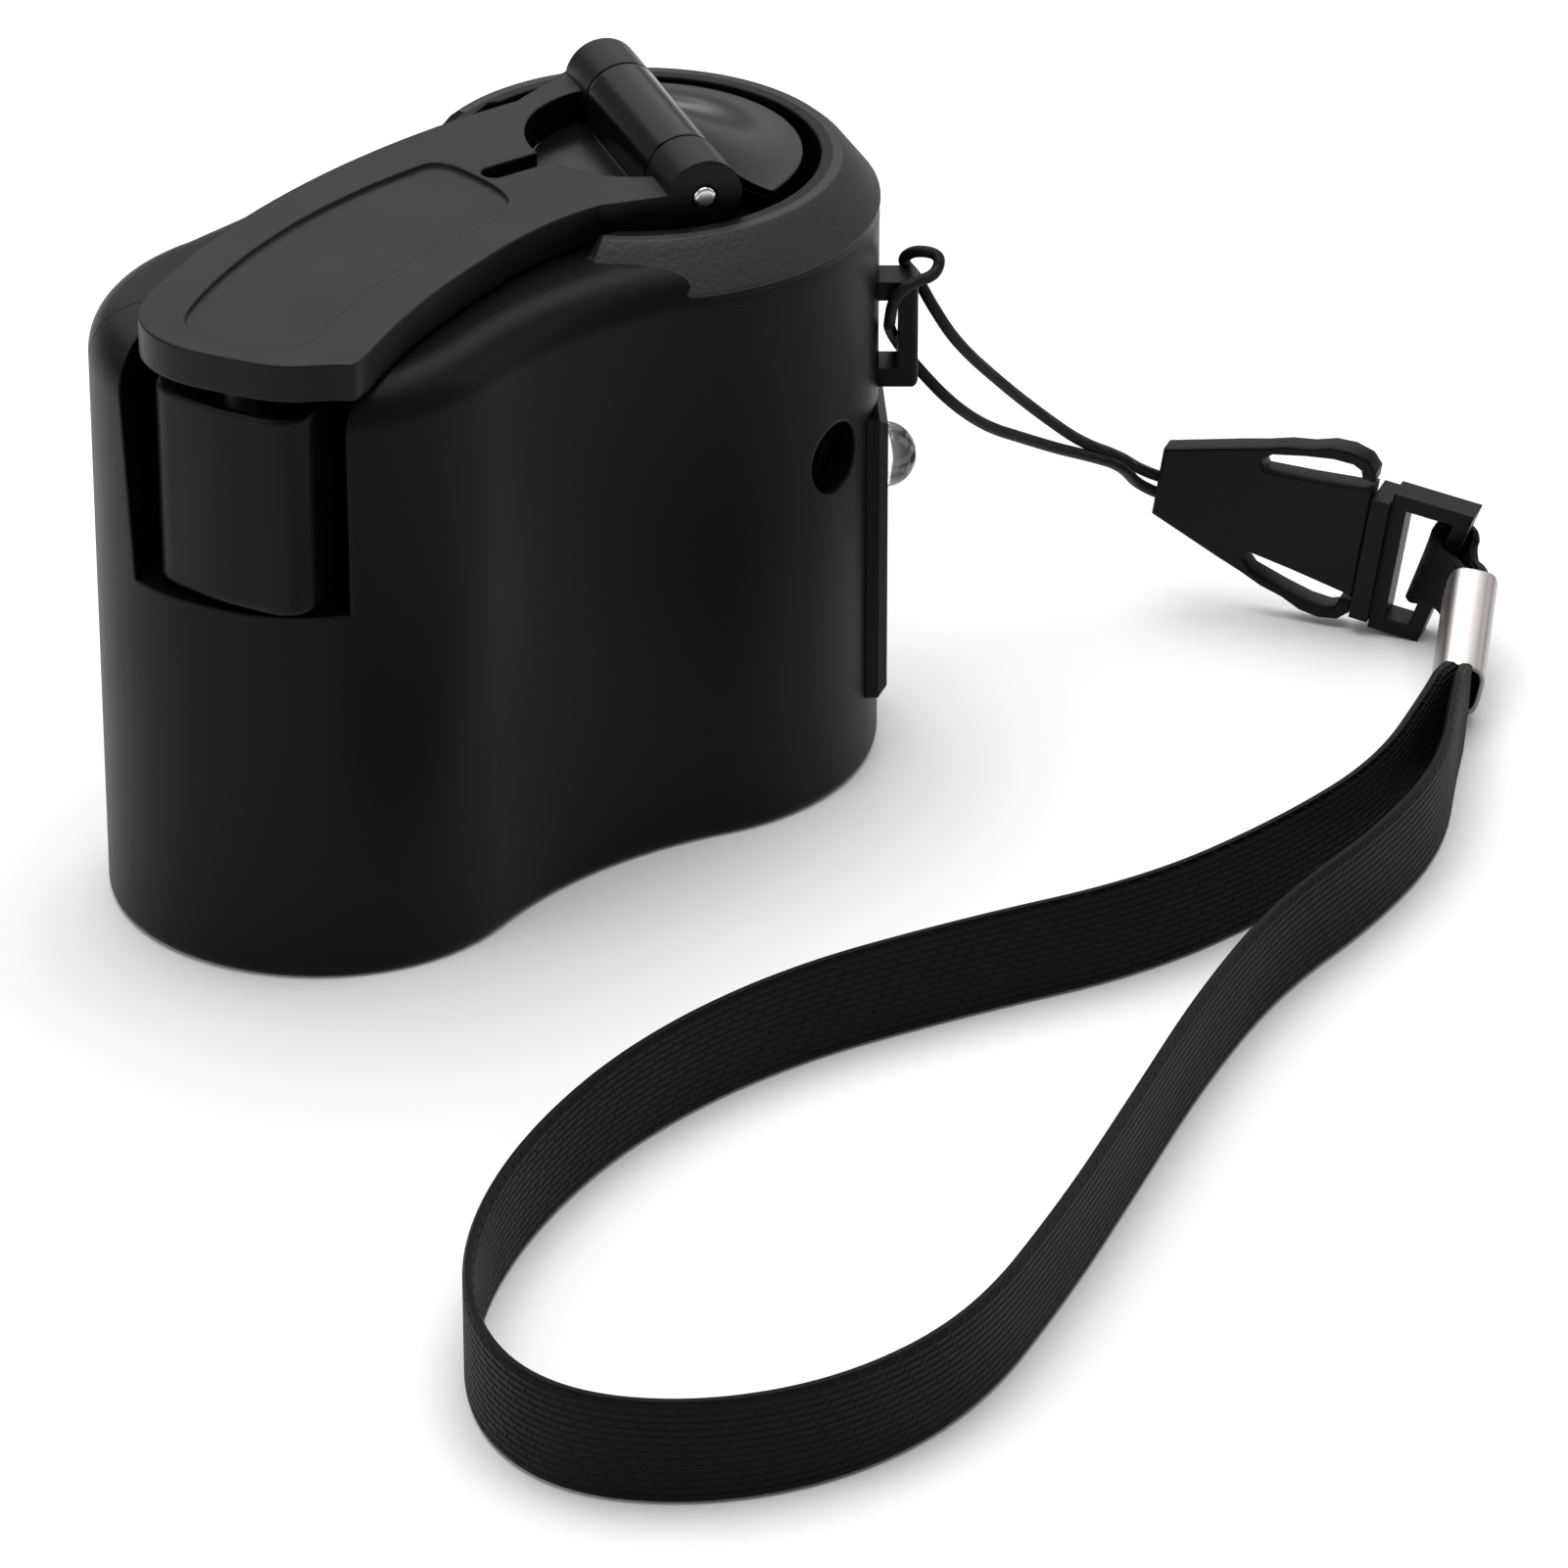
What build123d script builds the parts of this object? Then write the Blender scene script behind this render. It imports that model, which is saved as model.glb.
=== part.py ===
"""Folding hand crank charger with a wrist strap, in millimetres, +Z up.

The origin is on the crank axis at the underside of the case.  X runs along the
parting plane of the two case halves, from the knob lobe to the hub lobe.
"""
from build123d import *
import os
from math import acos, atan2, cos, degrees, hypot, pi, radians, sin, sqrt, tan

os.makedirs("parts", exist_ok=True)

# ------------------------------------------------------------------ case
case_height = 47.0          # underside to top plane
hub_lobe_r = 18.0           # lobe round the crank axis
knob_lobe_r = 15.9          # lobe that carries the knob recess
knob_lobe_at = (-31.65, -6.26)
waist_r = 34.0              # hollow near side between the lobes
case_wall = 2.0
top_edge_r = 3.5
foot_edge_r = 0.8

# ------------------------------------------------------------------ hub well and collar
well_r = 13.7
well_floor_z = 41.0
well_wall = 1.5
rim_width = 1.0
rim_z = 48.3                # top of the collar round the well
collar_foot_z = 44.9
collar_foot_r = 17.7

# ------------------------------------------------------------------ crank hinge
pin_heading = -103.3        # heading of the hinge pin, seen from above
pin_z = 49.5
pin_back = 1.3              # pin behind the crank axis, away from the arm
pin_r = 0.9
barrel_r = 2.9
knuckle_half = 6.7
ear_gap = 0.25
ear_length = 4.75
pin_stand_out = 0.2
running_gap = 0.05          # radial clearance of every turning fit

# ------------------------------------------------------------------ crank hub
drum_r = 12.1
drum_top_z = 46.2
drum_lift = 0.3             # drum above the well floor
dome_crown_z = 49.6
dome_edge_z = 48.0
eye_r = 7.6                 # small disc inside the arm's round cut-out
eye_top_z = 47.9
ear_room = 0.3              # clearance round the swinging ears

# ------------------------------------------------------------------ crank arm
arm_thick = 2.8
arm_lift = 0.3              # arm above the case top
arm_eye_r = 8.2
slot_half = 1.0
slot_reach = 13.6
slot_heading = 183.0
pad_depth = 0.25

# ------------------------------------------------------------------ knob and its recess
knob_heading = -147.5       # way out of the recess
knob_out = 12.3             # knob axis from the knob lobe's centre, along the heading
knob_right = 1.0            # and to the right of it
knob_bottom_z = 30.0
knob_top_gap = 1.6
knob_pin_r = 1.5
knob_pin_head_r = 2.7
knob_pin_head = 1.6
knob_pin_seat_z = 34.0
knob_pin_in_arm = 1.7
recess_floor_z = 29.6
recess_back = 7.1
recess_right = 8.4
recess_left = 8.1
recess_left_top = 9.4       # the left wall leans out, so that the knob can swing clear
recess_wall = 1.5

# ------------------------------------------------------------------ gear train
module = 0.4
pressure_angle = 20.0
backlash = 0.10
crank_teeth = 70
pinion_teeth = 12
idler_teeth = 56
motor_pinion_teeth = 12
gear_thick = 3.0
plate_thick = 1.6
lower_plate_z = 25.0
crank_gear_z = 33.4
idler_gear_z = 28.5
shaft_r = 2.0
axle_r = 1.0
motor_shaft_r = 0.75
motor_axis_out = 2.5        # generator axis from the knob lobe's centre, towards the hub

# ------------------------------------------------------------------ generator
can_r = 11.0
can_bottom_z = 7.0
can_wall = 0.8
magnet_thick = 1.6
air_gap = 0.4
pole_count = 3

# ------------------------------------------------------------------ end panel, lamp, sockets
panel_heading = -30.0
panel_face = 18.4           # outer face from the crank axis
panel_seat = 15.2
panel_width = 13.0
panel_bottom_z = 5.7
panel_top_z = 29.0
panel_chamfer = 0.7
lamp_z = 23.0
lamp_r = 2.5
usb_z = 13.3
usb_tall = 13.1
usb_wide = 5.7
usb_deep = 14.0
usb_sheet = 0.35
jack_heading = -68.0
jack_z = 28.3
jack_hole_r = 2.8
jack_bore_r = 1.8
jack_bore_deep = 9.0
jack_side = 6.4
board_thick = 1.2

# ------------------------------------------------------------------ lanyard bail
bail_heading = -33.0
bail_out = 20.9
bail_bar = 1.5
bail_width = 3.0
bail_bottom_z = 29.8
bail_top_z = 38.4
bail_root = 16.8

# ------------------------------------------------------------------ buckle, clamp and strap
buckle_heading = -53.0
buckle_tilt = 8.5           # tail end raised
buckle_tail = (46.3, -2.9, 9.25)
buckle_thick = 3.6
bar_lean = 20.0             # outer bar of the buckle's loop, off the vertical
strap_thick = 0.8
strap_width = 7.8
strap_lift = 0.15
strap_heading = 230.0       # from the buckle down to the loop
clamp_start = 3.6           # clamp from the buckle's outer bar
clamp_length = 7.0
clamp_wall = 0.5
layer_gap = 0.7             # between the two layers of strap in the clamp
string_r = 0.45
string_hole = 2.0           # string ends inside the buckle's tail
string_split = 0.62         # half the distance between the string ends

# ------------------------------------------------------------------ screws
screw_r = 1.0
screw_head_r = 1.9
screw_head = 1.3
screw_grip = 7.0            # thread in the front half
screw_post_r = 2.2
post_spots = [(-4.0, 5.0, 6.5), (-40.0, 3.5, 3.0), (-42.0, 27.8, 2.0), (-22.0, 42.2, 6.5)]  # x, z, seat


# ================================================================== helpers
def ahead(heading, distance=1.0):
    """Plan vector of a length along a heading in degrees."""
    return Vector(distance * cos(radians(heading)), distance * sin(radians(heading)), 0)


def upright(heading, distance=0.0, z=0.0, origin=(0, 0, 0)):
    """Plane across a heading: local x to the left of the heading, local y up."""
    return Plane(
        origin=Vector(*origin) + ahead(heading, distance) + Vector(0, 0, z),
        x_dir=ahead(heading + 90),
        z_dir=ahead(heading),
    )


def radial_plane(heading):
    """Plane that holds the crank axis: local x along the heading, local y up."""
    return Plane(origin=(0, 0, 0), x_dir=ahead(heading), z_dir=ahead(heading - 90))


hub = Vector(0, 0, 0)
knob_lobe = Vector(*knob_lobe_at, 0)
lobe_gap = (hub - knob_lobe).length
lobe_axis = (hub - knob_lobe).normalized()
lobe_left = lobe_axis.rotate(Axis.Z, 90)
reach_k = knob_lobe_r + waist_r
reach_h = hub_lobe_r + waist_r
waist_along = (reach_k**2 - reach_h**2 + lobe_gap**2) / (2 * lobe_gap)
waist_centre = knob_lobe + lobe_axis * waist_along - lobe_left * sqrt(reach_k**2 - waist_along**2)
flank_lean = (hub_lobe_r - knob_lobe_r) / lobe_gap
flank_normal = lobe_axis * flank_lean + lobe_left * sqrt(1 - flank_lean**2)


def case_outline(inset):
    """Face of the case outline: two lobes, a straight far flank and a hollow near one."""
    rk = knob_lobe_r - inset
    rh = hub_lobe_r - inset
    rw = waist_r + inset
    far_k = knob_lobe + flank_normal * rk
    far_h = hub + flank_normal * rh
    near_k = knob_lobe + (waist_centre - knob_lobe) * (rk / (rk + rw))
    near_h = hub + (waist_centre - hub) * (rh / (rh + rw))
    waist_mid = waist_centre + ((near_k + near_h) * 0.5 - waist_centre).normalized() * rw
    with BuildSketch() as shape:
        with BuildLine():
            Line(far_h, far_k)
            ThreePointArc(far_k, knob_lobe - lobe_axis * rk, near_k)
            ThreePointArc(near_k, waist_mid, near_h)
            ThreePointArc(near_h, hub + lobe_axis * rh, far_h)
        make_face()
    return shape.sketch


# ================================================================== knob recess
knob_at = knob_lobe + ahead(knob_heading, knob_out) + ahead(knob_heading + 90, knob_right)


def recess_outline(left, right, back, front):
    """Face of the recess seen from above, corners cut at the back."""
    out = ahead(knob_heading)
    side = ahead(knob_heading - 90)
    corner = recess_wall
    with BuildSketch() as shape:
        with BuildLine():
            Polyline(
                knob_at + side * left + out * front,
                knob_at + side * left - out * (back - corner),
                knob_at + side * (left - corner) - out * back,
                knob_at - side * (right - corner) - out * back,
                knob_at - side * right - out * (back - corner),
                knob_at - side * right + out * front,
                close=True,
            )
        make_face()
    return shape.sketch


recess_front = knob_lobe_r
recess_rise = case_height + top_edge_r - recess_floor_z
recess_lean = (recess_left_top - recess_left) / (case_height - recess_floor_z)
recess_left_high = recess_left + recess_lean * recess_rise

with BuildPart() as recess_void:
    with BuildSketch(Plane.XY.offset(recess_floor_z)):
        add(recess_outline(recess_left, recess_right, recess_back, recess_front))
    with BuildSketch(Plane.XY.offset(recess_floor_z + recess_rise)):
        add(recess_outline(recess_left_high, recess_right, recess_back, recess_front))
    loft(ruled=True)

with BuildPart() as recess_block:
    with BuildSketch(Plane.XY.offset(recess_floor_z - recess_wall)):
        add(recess_outline(*[w + recess_wall for w in (recess_left, recess_right, recess_back)], recess_front))
    with BuildSketch(Plane.XY.offset(recess_floor_z + recess_rise)):
        add(recess_outline(*[w + recess_wall for w in (recess_left_high, recess_right, recess_back)], recess_front))
    loft(ruled=True)
    with BuildSketch():
        add(case_outline(case_wall / 2))
    extrude(amount=case_height - case_wall / 2, mode=Mode.INTERSECT)

# ================================================================== screw posts
with BuildPart() as posts:
    for x, z, seat in post_spots:
        with BuildSketch(Plane.XZ):
            with Locations((x, z)):
                Circle(screw_post_r)
    extrude(amount=2 * hub_lobe_r, both=True)
    with BuildSketch():
        add(case_outline(case_wall / 2))
    extrude(amount=case_height - case_wall / 2, mode=Mode.INTERSECT)

# ================================================================== case
arm_z = case_height + arm_lift
panel_plane = upright(panel_heading, panel_seat)
jack_plane = upright(jack_heading, 0, jack_z)
bail_plane = upright(bail_heading, bail_root)
lamp_gap = running_gap
usb_gap = 0.1

turned = Plane(origin=(0, 0, 0), x_dir=(0, 1, 0), z_dir=(0, 0, 1))

# edges of the arm's channel through the collar
channel = [
    (-2.0, -10.5), (-9.5, -10.8), (-14.5, -11.6), (-24.0, -14.0),
    (-24.0, 12.0), (-10.0, 10.2), (-4.5, 13.5), (0.0, 12.0),
]

with BuildPart() as case:
    with BuildSketch():
        add(case_outline(0))
    extrude(amount=case_height)
    fillet(case.faces().sort_by(Axis.Z)[-1].edges(), radius=top_edge_r)
    fillet(case.faces().sort_by(Axis.Z)[0].edges(), radius=foot_edge_r)
    # conical collar round the hub well
    with BuildSketch(radial_plane(90)):
        with BuildLine():
            Polyline(
                (well_r, collar_foot_z - 1),
                (collar_foot_r - 1, collar_foot_z - 1),
                (collar_foot_r, collar_foot_z),
                (well_r + rim_width, rim_z),
                (well_r, rim_z),
                close=True,
            )
        make_face()
    revolve(axis=Axis.Z, revolution_arc=360)
    with BuildSketch(Plane.XY.offset(case_height)):
        with BuildLine():
            Polyline(*channel, close=True)
        make_face()
    extrude(amount=2 * (rim_z - case_height), mode=Mode.SUBTRACT)
    # inside
    with BuildSketch(Plane.XY.offset(case_wall)):
        add(case_outline(case_wall))
    extrude(amount=case_height - 2 * case_wall, mode=Mode.SUBTRACT)
    with BuildSketch(turned.offset(well_floor_z - well_wall)):
        Circle(well_r + well_wall)
    extrude(amount=case_height - case_wall / 2 - well_floor_z + well_wall)
    add(recess_block.part)
    add(posts.part)
    # hub well, knob recess and bearing hole
    with BuildSketch(turned.offset(well_floor_z)):
        Circle(well_r)
    extrude(amount=rim_z, mode=Mode.SUBTRACT)
    add(recess_void.part, mode=Mode.SUBTRACT)
    with BuildSketch(turned.offset(well_floor_z - 2 * well_wall)):
        Circle(shaft_r + well_wall)
    extrude(amount=3 * well_wall, mode=Mode.SUBTRACT)
    # window for the end panel
    with BuildSketch(panel_plane):
        with Locations((0, (panel_bottom_z + panel_top_z) / 2)):
            Rectangle(panel_width, panel_top_z - panel_bottom_z)
    extrude(amount=hub_lobe_r, mode=Mode.SUBTRACT)
    # hole in front of the charging jack
    with BuildSketch(upright(jack_heading, hub_lobe_r - 2 * case_wall, jack_z)):
        Circle(jack_hole_r)
    extrude(amount=3 * case_wall, mode=Mode.SUBTRACT)
    # pockets for the bail's legs
    with BuildSketch(bail_plane):
        with Locations((0, bail_bottom_z + bail_bar / 2), (0, bail_top_z - bail_bar / 2)):
            Rectangle(bail_width, bail_bar)
    extrude(amount=2 * case_wall, mode=Mode.SUBTRACT)
    # screw holes: pilot in front, clearance and head room behind
    for x, z, seat in post_spots:
        with BuildSketch(Plane.XZ.offset(screw_grip)):
            with Locations((x, z)):
                Circle(screw_r)
        extrude(amount=-screw_grip, mode=Mode.SUBTRACT)
        with BuildSketch(Plane.XZ):
            with Locations((x, z)):
                Circle(screw_r + running_gap)
        extrude(amount=-seat, mode=Mode.SUBTRACT)
        with BuildSketch(Plane.XZ.offset(-seat)):
            with Locations((x, z)):
                Circle(screw_head_r + 2 * running_gap)
        extrude(amount=-hub_lobe_r, mode=Mode.SUBTRACT)

with BuildPart() as front_shell:
    add(case.part)
    split(bisect_by=Plane.XZ, keep=Keep.TOP)
front_shell.part.label = "front_shell"
export_step(front_shell.part, "parts/front_shell.step")

with BuildPart() as rear_shell:
    add(case.part)
    split(bisect_by=Plane.XZ, keep=Keep.BOTTOM)
rear_shell.part.label = "rear_shell"
export_step(rear_shell.part, "parts/rear_shell.step")

with BuildPart() as case_screws:
    for x, z, seat in post_spots:
        with BuildSketch(Plane.XZ.offset(screw_grip - 0.5)):
            with Locations((x, z)):
                Circle(screw_r)
        extrude(amount=-(screw_grip - 0.5 + seat))
        with BuildSketch(Plane.XZ.offset(-seat)):
            with Locations((x, z)):
                Circle(screw_head_r)
        extrude(amount=-screw_head)
case_screws.part.label = "case_screws"
export_step(case_screws.part, "parts/case_screws.step")

# ================================================================== end panel, lamp, USB socket
with BuildPart() as end_panel:
    with BuildSketch(panel_plane):
        with Locations((0, (panel_bottom_z + panel_top_z) / 2)):
            Rectangle(panel_width, panel_top_z - panel_bottom_z)
    extrude(amount=panel_face - panel_seat)
    chamfer(end_panel.faces().sort_by(Axis(hub, ahead(panel_heading)))[-1].edges(), length=panel_chamfer)
    with BuildSketch(panel_plane):
        with Locations((0, lamp_z)):
            Circle(lamp_r + lamp_gap)
        with Locations((0, usb_z)):
            Rectangle(usb_wide + 2 * usb_gap, usb_tall + 2 * usb_gap)
    extrude(amount=2 * case_wall, mode=Mode.SUBTRACT)
end_panel.part.label = "end_panel"
export_step(end_panel.part, "parts/end_panel.step")

lamp_flange = 1.0
with BuildPart() as led_lamp:
    with BuildSketch(upright(panel_heading, panel_seat - lamp_flange, lamp_z)):
        Circle(lamp_r + 0.4)
    extrude(amount=lamp_flange)
    with BuildSketch(upright(panel_heading, panel_seat, lamp_z)):
        Circle(lamp_r)
    extrude(amount=panel_face - panel_seat + lamp_r)
    tip = led_lamp.faces().sort_by(Axis(hub, ahead(panel_heading)))[-1]
    fillet(tip.edges(), radius=lamp_r - 0.1)
led_lamp.part.label = "led_lamp"
export_step(led_lamp.part, "parts/led_lamp.step")

usb_back = panel_face - usb_deep
with BuildPart() as usb_shell:
    with BuildSketch(upright(panel_heading, usb_back, usb_z)):
        RectangleRounded(usb_wide, usb_tall, 0.6)
    extrude(amount=usb_deep)
    with BuildSketch(upright(panel_heading, usb_back + 2 * usb_sheet, usb_z)):
        RectangleRounded(usb_wide - 2 * usb_sheet, usb_tall - 2 * usb_sheet, 0.4)
    extrude(amount=usb_deep, mode=Mode.SUBTRACT)
usb_shell.part.label = "usb_shell"
export_step(usb_shell.part, "parts/usb_shell.step")

tongue_thick = 1.9
with BuildPart() as usb_tongue:
    with BuildSketch(upright(panel_heading, usb_back + 2 * usb_sheet, usb_z)):
        Rectangle(usb_wide - 2 * usb_sheet, usb_tall - 2 * usb_sheet - 0.6)
    extrude(amount=3.0)
    with BuildSketch(upright(panel_heading, usb_back + 2 * usb_sheet + 3.0, usb_z)):
        with Locations(((usb_wide / 2 - usb_sheet - tongue_thick / 2) - 0.6, 0)):
            Rectangle(tongue_thick, usb_tall - 2 * usb_sheet - 1.4)
    extrude(amount=usb_deep - 2 * usb_sheet - 3.0 - 0.8)
usb_tongue.part.label = "usb_tongue"
export_step(usb_tongue.part, "parts/usb_tongue.step")

jack_front = sqrt((hub_lobe_r - case_wall) ** 2 - (jack_side / 2) ** 2)
jack_body = jack_bore_deep + 1.0
with BuildPart() as charge_jack:
    with BuildSketch(upright(jack_heading, jack_front - jack_body, jack_z)):
        Rectangle(jack_side, jack_side)
    extrude(amount=jack_body)
    with BuildSketch(upright(jack_heading, jack_front - jack_bore_deep, jack_z)):
        Circle(jack_bore_r)
    extrude(amount=2 * jack_bore_deep, mode=Mode.SUBTRACT)
charge_jack.part.label = "charge_jack"
export_step(charge_jack.part, "parts/charge_jack.step")

# ================================================================== circuit board
board_inner = 0.8
board_bottom_z = case_wall + 0.6
board_top_z = lower_plate_z - 1.6
board_side = usb_wide / 2
with BuildPart() as circuit_board:
    with BuildSketch(upright(panel_heading, board_inner)):
        with Locations((board_side + board_thick / 2, (board_bottom_z + board_top_z) / 2)):
            Rectangle(board_thick, board_top_z - board_bottom_z)
    extrude(amount=panel_seat - 1.2 - board_inner)
circuit_board.part.label = "circuit_board"
export_step(circuit_board.part, "parts/circuit_board.step")

board_face = Plane(
    origin=ahead(panel_heading + 90, board_side + board_thick),
    x_dir=ahead(panel_heading),
    z_dir=ahead(panel_heading + 90),
)
with BuildPart() as smoothing_capacitor:
    with BuildSketch(board_face):
        with Locations((5.0, -9.0)):
            Circle(2.5)
    extrude(amount=6.0)
    fillet(smoothing_capacitor.faces().sort_by(Axis(hub, ahead(panel_heading + 90)))[-1].edges(), 0.4)
smoothing_capacitor.part.label = "smoothing_capacitor"
export_step(smoothing_capacitor.part, "parts/smoothing_capacitor.step")

with BuildPart() as power_choke:
    with BuildSketch(board_face):
        with Locations((5.0, -18.0)):
            Circle(3.0)
            Circle(1.2, mode=Mode.SUBTRACT)
    extrude(amount=3.0)
power_choke.part.label = "power_choke"
export_step(power_choke.part, "parts/power_choke.step")

# ================================================================== lanyard bail
with BuildPart() as lanyard_bail:
    with BuildSketch(bail_plane):
        with Locations((0, bail_bottom_z + bail_bar / 2), (0, bail_top_z - bail_bar / 2)):
            Rectangle(bail_width, bail_bar)
    extrude(amount=bail_out - bail_root)
    with BuildSketch(upright(bail_heading, bail_out - bail_bar)):
        with Locations((0, (bail_bottom_z + bail_top_z) / 2)):
            Rectangle(bail_width, bail_top_z - bail_bottom_z)
    extrude(amount=bail_bar)
    outer = lanyard_bail.faces().sort_by(Axis(hub, ahead(bail_heading)))[-1]
    fillet(outer.edges(), radius=bail_bar / 3)
lanyard_bail.part.label = "lanyard_bail"
export_step(lanyard_bail.part, "parts/lanyard_bail.step")

# ================================================================== crank hub
pin_along = ahead(pin_heading)
arm_heading = pin_heading - 90
arm_along = ahead(arm_heading)
pin_centre = arm_along * -pin_back + Vector(0, 0, pin_z)
drum_bottom_z = well_floor_z + drum_lift


def across_pin(distance):
    """Plane square to the hinge pin: local x towards the arm's back, local y up."""
    return Plane(origin=pin_centre + pin_along * distance, x_dir=ahead(pin_heading + 90), z_dir=pin_along)


dome_r = ((drum_r**2) + (dome_crown_z - dome_edge_z) ** 2) / (2 * (dome_crown_z - dome_edge_z))
with BuildPart() as crank_hub:
    # dome on the side away from the arm, small disc inside the arm's eye
    with BuildSketch(radial_plane(0)):
        with BuildLine():
            Line((0, drum_top_z), (drum_r, drum_top_z))
            Line((drum_r, drum_top_z), (drum_r, dome_edge_z))
            RadiusArc((drum_r, dome_edge_z), (0, dome_crown_z), -dome_r)
            Line((0, dome_crown_z), (0, drum_top_z))
        make_face()
    revolve(axis=Axis.Z, revolution_arc=360)
    with BuildSketch(Plane.XY.offset(drum_top_z).rotated((0, 0, arm_heading))):
        with Locations((drum_r + 1, 0)):
            Rectangle(2 * (drum_r + 1), 4 * drum_r)
    extrude(amount=case_height, mode=Mode.SUBTRACT)
    with BuildSketch(Plane.XY.offset(drum_top_z)):
        Circle(eye_r)
    extrude(amount=eye_top_z - drum_top_z)
    # room for the ears of the arm on both sides of the knuckle
    swing_r = barrel_r + ear_room
    for side in (-1, 1):
        slot_mid = (knuckle_half + 2 * drum_r) / 2 * side
        with BuildSketch(Plane.XY.offset(drum_top_z).rotated((0, 0, arm_heading))):
            with Locations((-pin_back + swing_r - drum_r, slot_mid)):
                Rectangle(2 * drum_r, 2 * drum_r - knuckle_half)
        extrude(amount=case_height, mode=Mode.SUBTRACT)
    # drum and knuckle
    with BuildSketch(Plane.XY.offset(drum_bottom_z)):
        Circle(drum_r)
    extrude(amount=drum_top_z - drum_bottom_z)
    with BuildSketch(across_pin(-knuckle_half)):
        Circle(barrel_r)
        with Locations((0, -barrel_r / 2)):
            Rectangle(2 * barrel_r, barrel_r)
    extrude(amount=2 * knuckle_half)
    with BuildSketch(across_pin(-knuckle_half)):
        Circle(pin_r)
    extrude(amount=2 * knuckle_half, mode=Mode.SUBTRACT)
    with BuildSketch(Plane.XY.offset(drum_bottom_z)):
        Circle(shaft_r)
    extrude(amount=drum_top_z - drum_bottom_z - 1, mode=Mode.SUBTRACT)
crank_hub.part.label = "crank_hub"
export_step(crank_hub.part, "parts/crank_hub.step")

ear_start = knuckle_half + ear_gap
ear_end = ear_start + ear_length
with BuildPart() as hinge_pin:
    with BuildSketch(across_pin(-ear_end - pin_stand_out)):
        Circle(pin_r)
    extrude(amount=2 * (ear_end + pin_stand_out))
    fillet(hinge_pin.edges(), radius=pin_r / 3)
hinge_pin.part.label = "hinge_pin"
export_step(hinge_pin.part, "parts/hinge_pin.step")

# ================================================================== crank arm
far_ear = arm_along * (barrel_r - pin_back) - pin_along * ear_end
near_ear = arm_along * (barrel_r - pin_back) + pin_along * ear_end


def arm_outline():
    """Banana outline of the arm from above, from the far ear round the tip to the near ear."""
    with BuildSketch() as shape:
        with BuildLine():
            far_edge = ThreePointArc((-4.6, 9.2), (-24.4, 5.5), (-43.4, -4.4))
            tip = Spline(
                (-43.4, -4.4), (-46.9, -9.4), (-46.5, -13.2), (-44.3, -17.1), (-41.2, -20.6), (-38.2, -22.2),
                (-35.4, -21.4),
                tangents=(far_edge % 1, (0.8, 0.6)),
            )
            Spline(
                (-35.4, -21.4), (-28.6, -16.8), (-19.6, -12.3), (-9.2, -9.7),
                tangents=(tip % 1, (1, 0.05)),
            )
            Polyline(
                (-9.2, -9.7), near_ear, near_ear - arm_along * barrel_r,
                far_ear - arm_along * barrel_r, far_ear, (-4.6, 9.2),
            )
        make_face()
    return shape.sketch


def pad_outline():
    """Outline of the shallow pad on the arm."""
    with BuildSketch() as shape:
        with BuildLine():
            far_edge = ThreePointArc((-41.9, -7.9), (-30.0, -0.6), (-16.4, 3.3))
            near_edge = ThreePointArc((-16.3, -6.8), (-27.0, -11.0), (-37.3, -17.3))
            Spline(
                (-16.4, 3.3), (-14.2, 0.6), (-14.0, -4.6), (-16.3, -6.8),
                tangents=(far_edge % 1, near_edge % 0),
            )
            Spline(
                (-37.3, -17.3), (-41.6, -17.2), (-44.0, -12.6), (-41.9, -7.9),
                tangents=(near_edge % 1, far_edge % 0),
            )
        make_face()
    return shape.sketch


with BuildPart() as crank_arm:
    with BuildSketch(Plane.XY.offset(arm_z)):
        add(arm_outline())
    extrude(amount=arm_thick)
    with BuildSketch(Plane.XY.offset(arm_z)):
        Circle(arm_eye_r)
        with Locations(ahead(slot_heading, slot_reach - slot_half)):
            Circle(slot_half)
    with BuildSketch(Plane.XY.offset(arm_z).rotated((0, 0, slot_heading))):
        with Locations(((slot_reach - slot_half) / 2, 0)):
            Rectangle(slot_reach - slot_half, 2 * slot_half)
    extrude(amount=arm_thick, mode=Mode.SUBTRACT)
    with BuildSketch(Plane.XY.offset(arm_z + arm_thick - pad_depth)):
        add(pad_outline())
    extrude(amount=arm_thick, mode=Mode.SUBTRACT)
    # ears round the hinge pin
    for start in (-ear_end, ear_start):
        with BuildSketch(across_pin(start)):
            Circle(barrel_r)
        extrude(amount=ear_length)
    for start in (-ear_end, ear_start):
        with BuildSketch(across_pin(start)):
            Circle(pin_r + running_gap)
        extrude(amount=ear_length, mode=Mode.SUBTRACT)
    # blind hole for the knob's pin
    with BuildSketch(Plane.XY.offset(arm_z)):
        with Locations(knob_at):
            Circle(knob_pin_r)
    extrude(amount=knob_pin_in_arm, mode=Mode.SUBTRACT)
crank_arm.part.label = "crank_arm"
export_step(crank_arm.part, "parts/crank_arm.step")

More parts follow.
